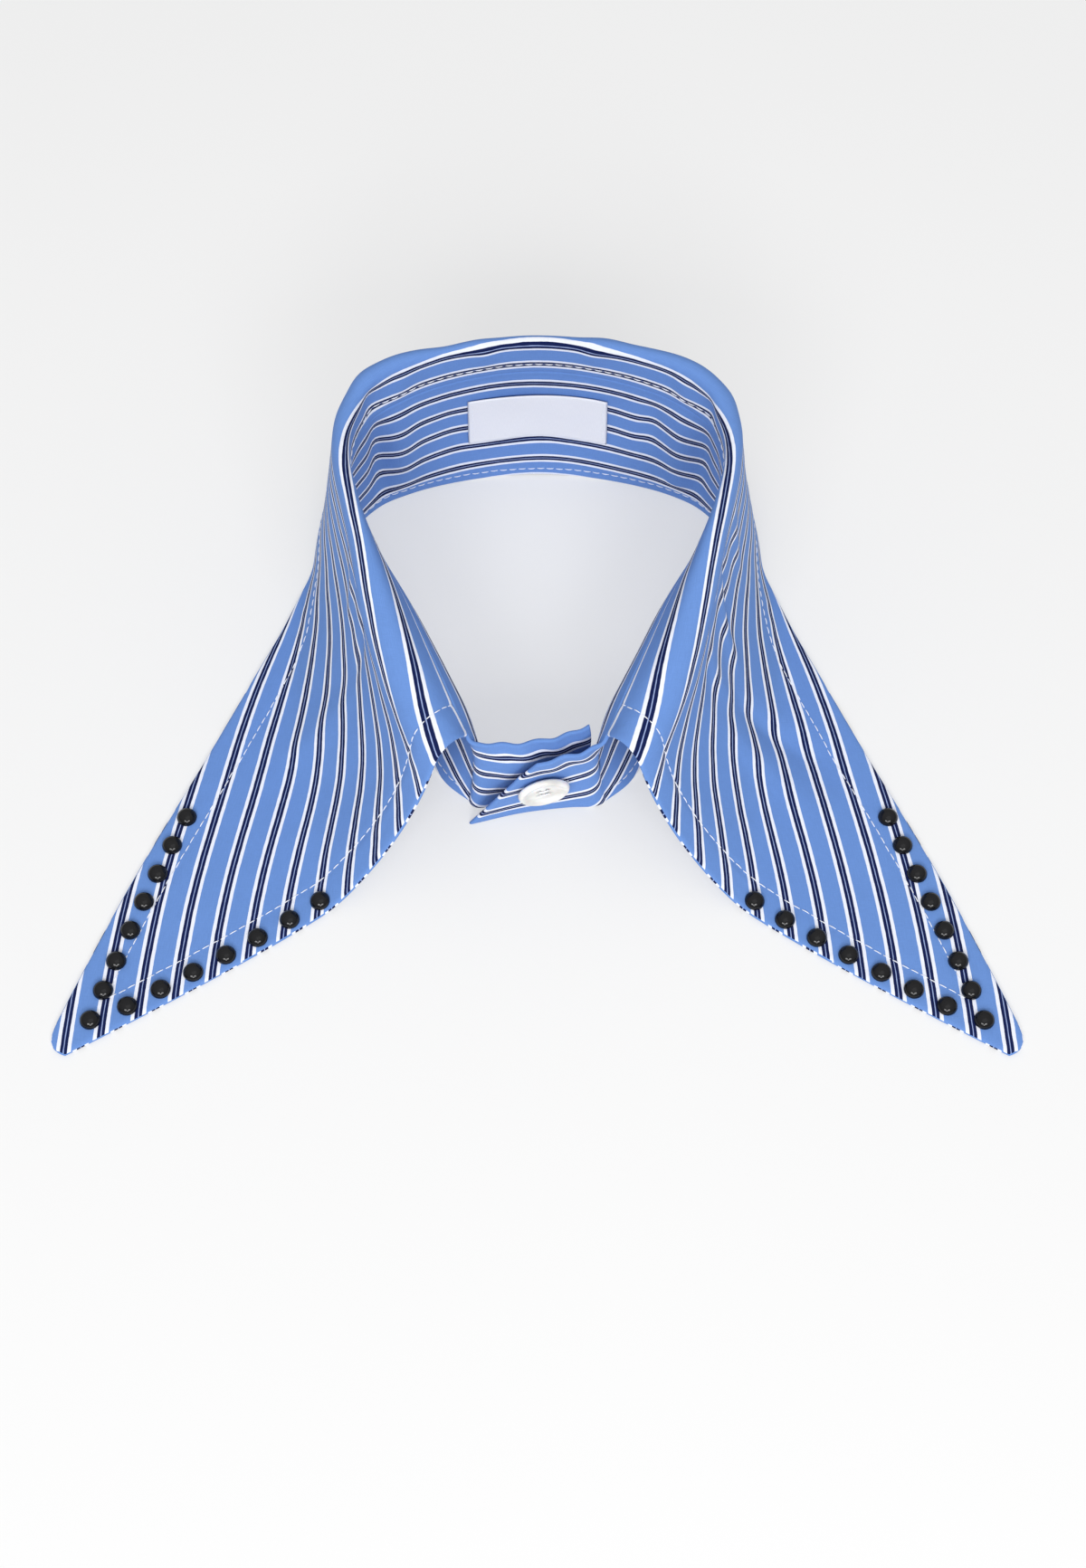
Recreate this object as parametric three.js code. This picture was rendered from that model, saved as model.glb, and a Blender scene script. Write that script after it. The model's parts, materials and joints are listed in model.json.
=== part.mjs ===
// A detachable shirt collar, buttoned and standing by itself on a table.
// Millimetres, +Z up, +Y towards the back of the neck, +X to the right as seen from the front.
// The fall folds over the stand. Both are curved walls of cloth, worked out from vertical
// sections that stand along the neck seam; s is the length along the seam from the centre back.
import * as THREE from 'three';

// Driving dimensions
const SEAM_HALF = 149;      // neck seam, from the centre back to the fall's front corner
const BACK_Y = 54.8;        // centre back of the seam
const CLOTH = 1.2;          // wall of the fall and of the stand: two plies and interlining
const SEAM_GAP = 0.3;       // clear distance between neighbouring pieces
const FALL_BACK = 81.5;     // depth of the fall at the centre back
const EDGE_ALONG = 214.5;   // flat place on the outer edge near the tip: along the seam,
const EDGE_DOWN = 110.5;    // and across it
const EDGE_BOW = -8;        // bow of the outer edge up to that place, negative inward
const FRONT_BOW = 6.3;      // bow of the fall's front edge, forward
const TIP = { cut: 9.5, over: 1 };      // rounded tip: the front section's shortening, and the
                                       // length of seam over which it fades out
const FALL_EASE = 1.7;      // how soon the fall's direction turns to that of its edge
const SLANT = { top: 21, foot: 39 };   // overlap past the corner, at its top and at its foot
const UNDERLAP_PAST = 34;   // underlap past the corner
const STUD = { r: 2.7, height: 2.3, gap: 0.6 };
const OUTER_STUDS = { count: 8, first: 18, pitch: 9, inset: [7.8, 4.1] };
const FRONT_STUDS = { count: 7, first: 29.2, pitch: 9.55, inset: [4.6, 4] };
const BUTTON = { r: 7, thick: 2.4, holeR: 0.8, holeOut: 1.5, past: 19, down: 0.5 };
const LABEL = { width: 39, height: 21, top: 10.5, thick: 0.6 };

// Rows of numbers under named columns.
function named(columns, rows) {
  const names = columns.split(' ');
  return rows.map((row) => Object.fromEntries(row.map((value, i) => [names[i], value])));
}

// One row for each section along the seam.
//   at     share of the seam's half length
//   turn   plan heading of the seam, degrees clockwise from +X
//   height of the seam over the table
//   flare  outward lean of the stand at the seam, and foot: at its bottom edge, degrees
//   rise   length of the fall that still climbs, and roll: length that turns over
//   sweep  heading of the fall's section, degrees forward of square to the seam
//   fan    slant of the section in the flat cut, degrees from square to the seam
//   drop   direction of the fall below the roll, and end: at its edge, degrees from upright
const SECTION_COLUMNS = 'at turn height flare foot rise roll sweep fan drop end';
const SECTIONS = named(SECTION_COLUMNS, [
  [   0,     0,   52, -7,  -2, 11.9,  4.5,   0,    0, 166,   160],
  [0.16,    15, 50.5, -7,  -2, 12.5,    6,   8,  2.5, 166,   156],
  [0.29,  35.5,   49, -4,  -5, 13.6,  7.6,   4,  4.5, 166,   160],
  [0.39,    74, 47.5, -6,  -6, 12.5,    9, -24,    6, 170,   168],
  [ 0.5,   107,   46,  0,  -4,   13,  8.6, -51,    5, 174, 164.5],
  [0.63,   117,   45, 15,  -4,   11, 11.4, -56,  0.5, 180,   149],
  [0.76,   114,   44, 30, -10,    7,   17, -44,   -1, 184,   130],
  [0.87, 114.5, 41.5, 40, -20,  3.5,   19, -30,  4.5, 180,   111],
  [0.95, 115.5, 38.5, 44, -20,    1,   18, -12,   21, 169,    97],
  [   1,   120, 35.5, 34, -11,  0.5,   16, 5.5, 39.5, 152,    88],
]);

// The same columns for the two ends of the stand, at lengths past the fall's front corner:
// the overlap comes from the right and lies outside, the underlap comes from the left.
const END_TABLE_COLUMNS = 'past turn height flare foot';
const OVERLAP = named(END_TABLE_COLUMNS, [
  [ 5, 164, 32.5, 26, -7],
  [13, 167,   31, 14,  0],
  [26, 166, 30.4,  8,  5],
  [40, 168,   30,  6,  5],
]);
const UNDERLAP = named(END_TABLE_COLUMNS, [
  [ 3, 171, 34,  14, -6],
  [10, 182, 33, -10,  6],
  [22, 196, 32.5, -16, 14],
  [44, 211, 32, -18, 18],
]);

// Mesh fineness
const FALL_COLUMN = { seam: 6, edge: 9 };   // greatest step between sections of the fall
const RISE_ROWS = 2;
const ROLL_ROWS = 6;
const FALL_ROWS = 15;
const STAND_ROWS = 8;
const STAND_COLUMNS = 24;   // sections for half of the stand, up to the corner
const END_COLUMNS = 9;
const PATH_STEP = 0.5;
const PROFILE_STEPS = 120;
const TABLE_EASE = 2;       // the fall's wall rounds off over this height where it meets the table

const rad = THREE.MathUtils.degToRad;
const clamp = THREE.MathUtils.clamp;

// All columns of a table at x: cubic curves through its rows.
function readTable(rows, key, x) {
  const last = rows.length - 1;
  const i = clamp(rows.findIndex((row) => row[key] > x) - 1, 0, last - 1);
  const k = x >= rows[last][key] ? last - 1 : i;
  const [a, b] = [rows[k], rows[k + 1]];
  const span = b[key] - a[key];
  const t = clamp((x - a[key]) / span, 0, 1);
  const slope = (j, name) => {
    const symmetric = key === 'at' && name !== 'turn';
    if (j === 0) return symmetric ? 0 : (rows[1][name] - rows[0][name]) / (rows[1][key] - rows[0][key]);
    if (j === last) return (rows[j][name] - rows[j - 1][name]) / (rows[j][key] - rows[j - 1][key]);
    const [before, here, after] = [rows[j - 1], rows[j], rows[j + 1]];
    const [h0, h1] = [here[key] - before[key], after[key] - here[key]];
    const [d0, d1] = [(here[name] - before[name]) / h0, (after[name] - here[name]) / h1];
    return (d0 * h1 + d1 * h0) / (h0 + h1);
  };
  const out = {};
  for (const name of Object.keys(a)) {
    if (!(name in b)) continue;
    const [m0, m1] = [slope(k, name) * span, slope(k + 1, name) * span];
    out[name] = (2 * t ** 3 - 3 * t ** 2 + 1) * a[name] + (t ** 3 - 2 * t ** 2 + t) * m0
      + (-2 * t ** 3 + 3 * t ** 2) * b[name] + (t ** 3 - t ** 2) * m1;
  }
  return out;
}

// The seam in plan for one side, from the centre back to the end of that side of the stand.
function seamPath(end) {
  const corner = SECTIONS[SECTIONS.length - 1];
  const endRows = [{ ...corner, past: 0 }, ...end];
  const read = (s) => (s <= SEAM_HALF
    ? readTable(SECTIONS, 'at', s / SEAM_HALF)
    : readTable(endRows, 'past', s - SEAM_HALF));
  const length = SEAM_HALF + end[end.length - 1].past;
  const points = [];
  let [x, y] = [0, BACK_Y];
  let before = null;
  for (let i = 0; i * PATH_STEP <= length + 1e-9; i += 1) {
    const s = i * PATH_STEP;
    const row = read(s);
    const heading = rad(row.turn);
    if (before) {
      const climb = clamp((row.height - before.height) / PATH_STEP, -0.7, 0.7);
      const plan = PATH_STEP * Math.sqrt(1 - climb ** 2);
      x += plan * (Math.cos(heading) + Math.cos(before.heading)) / 2;
      y -= plan * (Math.sin(heading) + Math.sin(before.heading)) / 2;
    }
    points.push({ x, y, heading });
    before = { height: row.height, heading };
  }
  return (s) => {
    const f = clamp(s / PATH_STEP, 0, points.length - 1.001);
    const [a, b, t] = [points[Math.floor(f)], points[Math.floor(f) + 1], f % 1];
    const mix = (name) => a[name] + (b[name] - a[name]) * t;
    return { x: mix('x'), y: mix('y'), heading: mix('heading'), row: read(s) };
  };
}

const rightPath = seamPath(OVERLAP);
const leftPath = seamPath(UNDERLAP);

// Depth of the fall along the section at s, from its fan and the flat outer edge.
function fallDepth(s, fan) {
  let depth = FALL_BACK;
  for (let i = 0; i < 20; i += 1) {
    const along = (s + depth * Math.sin(fan)) / EDGE_ALONG;
    const edge = FALL_BACK + (EDGE_DOWN - FALL_BACK) * along + 4 * EDGE_BOW * along * (1 - along);
    depth = edge / Math.cos(fan);
  }
  return depth;
}

// The section of the fall at s: its points, from the seam to the outer edge.
const sectionCache = new Map();
function fallSection(s) {
  if (sectionCache.has(s)) return sectionCache.get(s);
  const { x, y, heading, row } = rightPath(s);
  const fan = rad(row.fan);
  const depth = fallDepth(s, fan);
  const toward = Math.PI / 2 - heading - rad(row.sweep);
  const out = [Math.cos(toward), Math.sin(toward)];
  const forward = [Math.sin(toward), -Math.cos(toward)];
  const bowShare = FRONT_BOW * (s / SEAM_HALF) ** 6;
  const direction = (l) => {
    const turned = THREE.MathUtils.smoothstep(l, row.rise, row.rise + row.roll);
    const t = clamp((l - row.rise - row.roll) / (depth - row.rise - row.roll), 0, 1);
    const fall = row.end + (row.drop - row.end) * (1 - t) ** FALL_EASE;
    return rad(row.flare * (1 - turned) + fall * turned);
  };
  const step = depth / PROFILE_STEPS;
  const reach = [0];
  const height = [row.height];
  for (let i = 1; i <= PROFILE_STEPS; i += 1) {
    const middle = direction((i - 0.5) * step);
    reach.push(reach[i - 1] + step * Math.sin(middle));
    height.push(height[i - 1] + step * Math.cos(middle));
  }
  function point(l) {
    const f = clamp(l / step, 0, PROFILE_STEPS - 0.001);
    const [i, t] = [Math.floor(f), f % 1];
    const a = reach[i] + (reach[i + 1] - reach[i]) * t;
    const z = height[i] + (height[i + 1] - height[i]) * t - CLOTH / 2;
    const clear = (z + Math.sqrt(z * z + TABLE_EASE ** 2)) / 2 + CLOTH / 2;
    const b = bowShare * Math.sin(Math.PI * clamp(l / depth, 0, 1) ** 0.8);
    return new THREE.Vector3(x + a * out[0] + b * forward[0], y + a * out[1] + b * forward[1], clear);
  }
  const section = { row, depth, edgeAlong: s + depth * Math.sin(fan), point };
  sectionCache.set(s, section);
  return section;
}

// A point of the stand's middle surface: side +1 is the right half and its overlap, side -1 the
// left half and its underlap; down runs from 0 at the seam to 1 at the foot.
function standPoint(side, s, down) {
  const { x, y, heading, row } = (side > 0 ? rightPath : leftPath)(s);
  const lean = (t) => rad(row.foot + (row.flare - row.foot) * (1 - t) ** 3);
  const steps = 40;
  let [reach, drop] = [0, 0];
  const partial = { reach: 0, drop: 0 };
  for (let i = 0; i < steps; i += 1) {
    const middle = lean((i + 0.5) / steps);
    const share = clamp(down * steps - i, 0, 1);
    partial.reach += share * Math.sin(middle) / steps;
    partial.drop += share * Math.cos(middle) / steps;
    reach += Math.sin(middle) / steps;
    drop += Math.cos(middle) / steps;
  }
  const wall = row.height / drop;
  const a = -partial.reach * wall;
  const point = new THREE.Vector3(
    side * (x + a * Math.sin(heading)),
    y + a * Math.cos(heading),
    row.height - partial.drop * wall,
  );
  return { point, wall };
}

// A closed wall on a grid of middle points. It stays over the table, and its foot is flat.
function wallGeometry(grid, thick, lift = 0) {
  const [columns, rows] = [grid.length, grid[0].length];
  const at = (i, j) => grid[clamp(i, 0, columns - 1)][clamp(j, 0, rows - 1)];
  const vertices = [];
  for (const side of [1, -1]) {
    for (let i = 0; i < columns; i += 1) {
      for (let j = 0; j < rows; j += 1) {
        const along = at(i + 1, j).clone().sub(at(i - 1, j));
        const across = at(i, j + 1).clone().sub(at(i, j - 1));
        const normal = along.cross(across).normalize();
        const middle = at(i, j);
        const p = middle.clone().addScaledVector(normal, lift + side * thick / 2);
        vertices.push(p.x, p.y, middle.z < 1e-6 ? 0 : Math.max(p.z, 0));
      }
    }
  }
  const id = (side, i, j) => (side * columns + i) * rows + j;
  const index = [];
  const quad = (a, b, c, d) => index.push(a, b, c, a, c, d);
  for (let i = 0; i < columns - 1; i += 1) {
    for (let j = 0; j < rows - 1; j += 1) {
      quad(id(0, i, j), id(0, i + 1, j), id(0, i + 1, j + 1), id(0, i, j + 1));
      quad(id(1, i, j), id(1, i, j + 1), id(1, i + 1, j + 1), id(1, i + 1, j));
    }
    const j = rows - 1;
    quad(id(1, i, 0), id(1, i + 1, 0), id(0, i + 1, 0), id(0, i, 0));
    quad(id(0, i, j), id(0, i + 1, j), id(1, i + 1, j), id(1, i, j));
  }
  for (let j = 0; j < rows - 1; j += 1) {
    const i = columns - 1;
    quad(id(0, 0, j), id(0, 0, j + 1), id(1, 0, j + 1), id(1, 0, j));
    quad(id(0, i, j + 1), id(0, i, j), id(1, i, j), id(1, i, j + 1));
  }
  const geometry = new THREE.BufferGeometry();
  geometry.setAttribute('position', new THREE.Float32BufferAttribute(vertices, 3));
  geometry.setIndex(index);
  geometry.computeVertexNormals();
  return geometry;
}

const shirting = () => new THREE.MeshStandardMaterial({ color: 0x6f9ade, roughness: 0.85 });
const group = new THREE.Group();
function add(name, geometry, material) {
  const mesh = new THREE.Mesh(geometry, material);
  mesh.name = name;
  group.add(mesh);
  return mesh;
}

// Places of the fall's sections along half of the seam: closer where they fan out.
function fallColumns() {
  const places = [];
  const probe = 0.5;
  let s = 0;
  while (s < SEAM_HALF - 2 * TIP.over) {
    places.push(s);
    const spread = (fallSection(s + probe).edgeAlong - fallSection(s).edgeAlong) / probe;
    s += Math.min(FALL_COLUMN.seam, FALL_COLUMN.edge / spread);
  }
  for (const share of [1, 0.6, 0.3, 0]) places.push(SEAM_HALF - share * TIP.over);
  return places;
}

// Points down a section of the fall: close together where it rolls over.
function fallColumn(s) {
  const { row, depth, point } = fallSection(s);
  const start = SEAM_GAP / 2;
  const rolled = row.rise + row.roll;
  const fade = clamp(1 - (SEAM_HALF - s) / TIP.over, 0, 1);
  const end = depth - TIP.cut * fade ** 2;
  const lengths = [];
  for (let j = 0; j < RISE_ROWS; j += 1) lengths.push(start + (row.rise - start) * j / RISE_ROWS);
  for (let j = 0; j < ROLL_ROWS; j += 1) lengths.push(row.rise + row.roll * j / ROLL_ROWS);
  for (let j = 0; j <= FALL_ROWS; j += 1) lengths.push(rolled + (end - rolled) * j / FALL_ROWS);
  return lengths.map(point);
}

function buildFall() {
  const right = fallColumns().map(fallColumn);
  const left = right.slice(1).reverse();
  const mirrored = left.map((column) => column.map((p) => new THREE.Vector3(-p.x, p.y, p.z)));
  add('collar_fall', wallGeometry([...mirrored, ...right], CLOTH), shirting());
}

// A column of the stand's grid: side, how far along (0 to 1 up to the corner, 1 to 2 past it).
function standColumn(side, along) {
  const column = [];
  for (let j = 0; j <= STAND_ROWS; j += 1) {
    const down = (j / STAND_ROWS) ** 1.3;
    const past = side > 0 ? SLANT.top + (SLANT.foot - SLANT.top) * down : UNDERLAP_PAST;
    const s = along <= 1 ? along * SEAM_HALF : SEAM_HALF + (along - 1) * past;
    const { wall } = standPoint(side, s, 0);
    const start = SEAM_GAP / 2 / wall;
    column.push(standPoint(side, s, start + (1 - start) * down).point);
  }
  return column;
}

function buildStand() {
  const grid = [];
  for (let i = END_COLUMNS; i >= 1; i -= 1) grid.push(standColumn(-1, 1 + i / END_COLUMNS));
  for (let i = STAND_COLUMNS; i >= 1; i -= 1) grid.push(standColumn(-1, i / STAND_COLUMNS));
  for (let i = 0; i <= STAND_COLUMNS; i += 1) grid.push(standColumn(1, i / STAND_COLUMNS));
  for (let i = 1; i <= END_COLUMNS; i += 1) grid.push(standColumn(1, 1 + i / END_COLUMNS));
  add('collar_stand', wallGeometry(grid, CLOTH), shirting());
}

// The label lies on the inside of the stand at the centre back.
function buildLabel() {
  const [columns, rows] = [8, 4];
  const grid = [];
  for (let i = 0; i <= columns; i += 1) {
    const u = LABEL.width * (i / columns - 0.5);
    const side = u < 0 ? -1 : 1;
    const column = [];
    for (let j = 0; j <= rows; j += 1) {
      const { wall } = standPoint(side, Math.abs(u), 0);
      column.push(standPoint(side, Math.abs(u), (LABEL.top + LABEL.height * j / rows) / wall).point);
    }
    grid.push(column);
  }
  const lift = -(CLOTH / 2 + SEAM_GAP + LABEL.thick / 2);
  const white = new THREE.MeshStandardMaterial({ color: 0xf2f2f4, roughness: 0.5 });
  add('label', wallGeometry(grid, LABEL.thick, lift), white);
}

// A mesh made along +Z is turned so that +Z points along the normal, with its foot at the point.
function place(mesh, point, normal, away) {
  mesh.position.copy(point).addScaledVector(normal, away);
  mesh.quaternion.setFromUnitVectors(new THREE.Vector3(0, 0, 1), normal);
}

// The button sits on the overlap.
function buildButton() {
  const s = SEAM_HALF + BUTTON.past;
  const step = 0.5;
  const centre = standPoint(1, s, BUTTON.down).point;
  const along = standPoint(1, s + step, BUTTON.down).point.sub(centre);
  const down = standPoint(1, s, BUTTON.down + 0.02).point.sub(centre);
  const normal = along.cross(down).normalize();
  const face = new THREE.Shape().absarc(0, 0, BUTTON.r - 0.5, 0, 2 * Math.PI);
  for (const turn of [45, 135, 225, 315]) {
    const hole = new THREE.Path();
    const [x, y] = [BUTTON.holeOut * Math.cos(rad(turn)), BUTTON.holeOut * Math.sin(rad(turn))];
    hole.absarc(x, y, BUTTON.holeR, 0, 2 * Math.PI, true);
    face.holes.push(hole);
  }
  const bevel = 0.5;
  const geometry = new THREE.ExtrudeGeometry(face, {
    depth: BUTTON.thick - 2 * bevel,
    bevelThickness: bevel,
    bevelSize: bevel,
    bevelSegments: 2,
    curveSegments: 12,
  });
  geometry.translate(0, 0, bevel);
  const pearl = new THREE.MeshStandardMaterial({ color: 0xf4f1ec, roughness: 0.25 });
  place(add('button', geometry, pearl), centre, normal, CLOTH / 2 + SEAM_GAP);
}

// Slopes of the fall's surface at (s, l): along the seam and down the section.
function fallSlopes(s, l) {
  const step = 0.5;
  const point = fallSection(s).point(l);
  const alongSeam = point.clone().sub(fallSection(s - step).point(l)).divideScalar(step);
  const downSection = point.clone().sub(fallSection(s).point(l - step)).divideScalar(step);
  const normal = alongSeam.clone().cross(downSection).normalize();
  return { point, alongSeam, downSection, normal };
}

// The place on the fall nearest to a target, from a first guess.
function nearestOnFall(target, s, l) {
  for (let i = 0; i < 12; i += 1) {
    const { point, alongSeam: a, downSection: b } = fallSlopes(s, l);
    const miss = target.clone().sub(point);
    const det = a.dot(a) * b.dot(b) - a.dot(b) ** 2;
    s = clamp(s + (miss.dot(a) * b.dot(b) - miss.dot(b) * a.dot(b)) / det, 1, SEAM_HALF);
    l = clamp(l + (miss.dot(b) * a.dot(a) - miss.dot(a) * a.dot(b)) / det, 1, fallSection(s).depth);
  }
  return fallSlopes(s, l);
}

// Places beside an edge of the fall. The edge is given by its (s, l) at t, 0 at the sharp tip;
// inward is +1 where the fall lies to the left of the way from the tip, and -1 to the right.
function placesAlongEdge(edge, inward, { count, first, pitch, inset }) {
  const places = [];
  const step = 0.25;
  let walked = 0;
  for (let t = 0; places.length < count; t += step) {
    const [here, there] = [edge(t), edge(t + step)];
    const way = fallSection(there.s).point(there.l).sub(fallSection(here.s).point(here.l));
    walked += way.length();
    if (walked >= first + pitch * places.length) {
      const { point, normal } = fallSlopes(there.s, there.l);
      const share = places.length / (count - 1);
      const away = inset[0] + (inset[1] - inset[0]) * share;
      const side = normal.cross(way.normalize()).multiplyScalar(inward * away);
      places.push(nearestOnFall(point.add(side), there.s, there.l));
    }
  }
  return places;
}

function studPlaces() {
  const outer = (t) => {
    const s = SEAM_HALF - 0.3 * t;
    return { s, l: fallSection(s).depth };
  };
  const front = (t) => ({ s: SEAM_HALF, l: fallSection(SEAM_HALF).depth - t });
  return [...placesAlongEdge(outer, 1, OUTER_STUDS), ...placesAlongEdge(front, -1, FRONT_STUDS)];
}

function buildStuds() {
  const profile = [new THREE.Vector2(0, 0), new THREE.Vector2(STUD.r, 0)];
  for (const turn of [18, 36, 54, 72]) {
    profile.push(new THREE.Vector2(STUD.r * Math.cos(rad(turn)), STUD.height * Math.sin(rad(turn))));
  }
  profile.push(new THREE.Vector2(0, STUD.height));
  const segments = 12;
  studPlaces().forEach(({ point, normal }, k) => {
    for (const [name, side] of [['right', 1], ['left', -1]]) {
      const geometry = new THREE.LatheGeometry(profile, segments).rotateX(Math.PI / 2);
      const black = new THREE.MeshStandardMaterial({ color: 0x0c0c0e, roughness: 0.2 });
      const mesh = add(`stud_${name}_${String(k + 1).padStart(2, '0')}`, geometry, black);
      const mirrored = (v) => new THREE.Vector3(side * v.x, v.y, v.z);
      place(mesh, mirrored(point), mirrored(normal), CLOTH / 2 + STUD.gap);
    }
  });
}

buildFall();
buildStand();
buildLabel();
buildButton();
buildStuds();

// The origin is under the middle of the whole collar, on the table.
const box = new THREE.Box3().setFromObject(group);
group.position.y = -(box.min.y + box.max.y) / 2;

export default group;
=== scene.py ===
"""A detachable shirt collar of striped cotton, buttoned and standing by itself on a table.

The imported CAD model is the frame. The fall, the stand, the label, the button and the studs are
made again here as fine meshes on the same sections, in millimetres, and scaled to metres.
"""
import json
import math

import bpy
import numpy as np
from mathutils import Matrix, Vector

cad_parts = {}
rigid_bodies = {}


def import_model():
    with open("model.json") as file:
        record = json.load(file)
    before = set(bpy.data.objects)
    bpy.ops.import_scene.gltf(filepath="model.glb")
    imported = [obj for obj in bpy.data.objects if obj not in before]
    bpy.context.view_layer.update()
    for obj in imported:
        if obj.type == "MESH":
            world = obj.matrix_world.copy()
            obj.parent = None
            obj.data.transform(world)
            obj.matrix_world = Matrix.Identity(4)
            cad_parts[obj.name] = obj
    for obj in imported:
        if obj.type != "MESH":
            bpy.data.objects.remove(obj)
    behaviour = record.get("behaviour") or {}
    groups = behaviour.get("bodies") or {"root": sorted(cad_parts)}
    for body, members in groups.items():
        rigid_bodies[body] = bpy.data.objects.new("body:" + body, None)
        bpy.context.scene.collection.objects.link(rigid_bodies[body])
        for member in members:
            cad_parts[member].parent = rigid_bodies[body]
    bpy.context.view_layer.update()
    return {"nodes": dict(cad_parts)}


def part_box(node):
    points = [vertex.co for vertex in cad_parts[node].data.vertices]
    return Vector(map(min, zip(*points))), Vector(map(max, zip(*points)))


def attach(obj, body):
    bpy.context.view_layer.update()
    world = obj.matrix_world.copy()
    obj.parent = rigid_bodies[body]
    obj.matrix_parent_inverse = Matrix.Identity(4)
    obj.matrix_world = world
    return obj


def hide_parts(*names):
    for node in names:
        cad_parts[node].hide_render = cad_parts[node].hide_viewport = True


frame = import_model()
MM = 0.001

# ---------------------------------------------------------------- sizes, as in the CAD model
SEAM_HALF = 149.0
BACK_Y = 54.8
CLOTH = 1.2
FALL_BACK = 81.5
EDGE_ALONG = 214.5
EDGE_DOWN = 110.5
EDGE_BOW = -8.0
FRONT_BOW = 6.3
FALL_EASE = 1.7
TIP_CUT = 9.5
TIP_OVER = 1.0
TABLE_EASE = 2.0
SLANT_TOP = 21.0
SLANT_FOOT = 39.0
UNDERLAP_PAST = 34.0

SECTION_COLUMNS = "at turn height flare foot rise roll sweep fan drop end"
SECTIONS = [
    [0.00, 0.0, 52.0, -7, -2, 11.9, 4.5, 0, 0.0, 166, 160.0],
    [0.16, 15.0, 50.5, -7, -2, 12.5, 6.0, 8, 2.5, 166, 156.0],
    [0.29, 35.5, 49.0, -4, -5, 13.6, 7.6, 4, 4.5, 166, 160.0],
    [0.39, 74.0, 47.5, -6, -6, 12.5, 9.0, -24, 6.0, 170, 168.0],
    [0.50, 107.0, 46.0, 0, -4, 13.0, 8.6, -51, 5.0, 174, 164.5],
    [0.63, 117.0, 45.0, 15, -4, 11.0, 11.4, -56, 0.5, 180, 149.0],
    [0.76, 114.0, 44.0, 30, -10, 7.0, 17.0, -44, -1.0, 184, 130.0],
    [0.87, 114.5, 41.5, 40, -20, 3.5, 19.0, -30, 4.5, 180, 111.0],
    [0.95, 115.5, 38.5, 44, -20, 1.0, 18.0, -12, 21.0, 169, 97.0],
    [1.00, 120.0, 35.5, 34, -11, 0.5, 16.0, 5.5, 39.5, 152, 88.0],
]
END_COLUMNS = "past turn height flare foot"
OVERLAP = [
    [5, 164, 32.5, 26, -7],
    [13, 167, 31.0, 14, 0],
    [26, 166, 30.4, 8, 5],
    [40, 168, 30.0, 6, 5],
]
UNDERLAP = [
    [3, 171, 34.0, 14, -6],
    [10, 182, 33.0, -10, 6],
    [22, 196, 32.5, -16, 14],
    [44, 211, 32.0, -18, 18],
]
PATH_STEP = 0.5
PROFILE_STEPS = 240

# ---------------------------------------------------------------- sewing
EDGE_STITCH = 8.8      # topstitching of the fall, from its edge
SEAM_STITCH = 4.1      # topstitching of the fall, over the seam
SEAM_STITCH_END = 96.0 # how far it runs from the back
TOP_STITCH = 1.6       # groove of the stand's upper edge
FOOT_STITCH = 3.4      # topstitching of the stand, over its foot
STITCH_LENGTH = 2.5
STITCH_PITCH = 2.7
THREAD_R = 0.15
SEAM_JOINT = 0.06      # how near the fall and the stand come to the seam


def smooth(x, low, high):
    t = np.clip((x - low) / (high - low), 0, 1)
    return t * t * (3 - 2 * t)


# ---------------------------------------------------------------- form of the collar
def read_table(rows, names, key, x):
    """All columns of a table at x, on cubic curves through its rows."""
    table = np.array(rows, float)
    names = names.split()
    at = table[:, names.index(key)]
    k = np.clip(np.searchsorted(at, x, side="right") - 1, 0, len(at) - 2)
    span = at[k + 1] - at[k]
    t = np.clip((x - at[k]) / span, 0, 1)
    out = {}
    for name in names:
        value = table[:, names.index(name)]
        step = np.diff(at)
        slope = np.diff(value) / step
        middle = (slope[:-1] * step[1:] + slope[1:] * step[:-1]) / (step[:-1] + step[1:])
        first = 0.0 if key == "at" and name != "turn" else slope[0]
        bend = np.concatenate([[first], middle, [slope[-1]]])
        m0, m1 = bend[k] * span, bend[k + 1] * span
        out[name] = (
            (2 * t**3 - 3 * t**2 + 1) * value[k] + (t**3 - 2 * t**2 + t) * m0
            + (-2 * t**3 + 3 * t**2) * value[k + 1] + (t**3 - t**2) * m1
        )
    return out


def seam_path(end):
    """The seam in plan for one side: a function of s that gives x, y, heading and the row."""
    end_names = END_COLUMNS.split()
    corner = dict(zip(SECTION_COLUMNS.split(), SECTIONS[-1]), past=0)
    end_rows = [[corner[name] for name in end_names]] + end
    length = SEAM_HALF + end[-1][0]

    def row(s):
        near = read_table(SECTIONS, SECTION_COLUMNS, "at", np.minimum(s, SEAM_HALF) / SEAM_HALF)
        far = read_table(end_rows, END_COLUMNS, "past", np.maximum(s - SEAM_HALF, 0))
        both = {name: np.where(s <= SEAM_HALF, near[name], far[name]) for name in end_names[1:]}
        return {**near, **both}

    s = np.arange(0, length + 1e-9, PATH_STEP)
    rows = row(s)
    heading = np.radians(rows["turn"])
    climb = np.clip(np.diff(rows["height"]) / PATH_STEP, -0.7, 0.7)
    plan = PATH_STEP * np.sqrt(1 - climb**2)
    dx = plan * (np.cos(heading[1:]) + np.cos(heading[:-1])) / 2
    dy = plan * (np.sin(heading[1:]) + np.sin(heading[:-1])) / 2
    x = np.concatenate([[0], np.cumsum(dx)])
    y = BACK_Y - np.concatenate([[0], np.cumsum(dy)])

    def at(where):
        place = [np.interp(where, s, v) for v in (x, y, heading)]
        return (*place, row(where))

    return at


RIGHT_PATH = seam_path(OVERLAP)
LEFT_PATH = seam_path(UNDERLAP)


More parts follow.
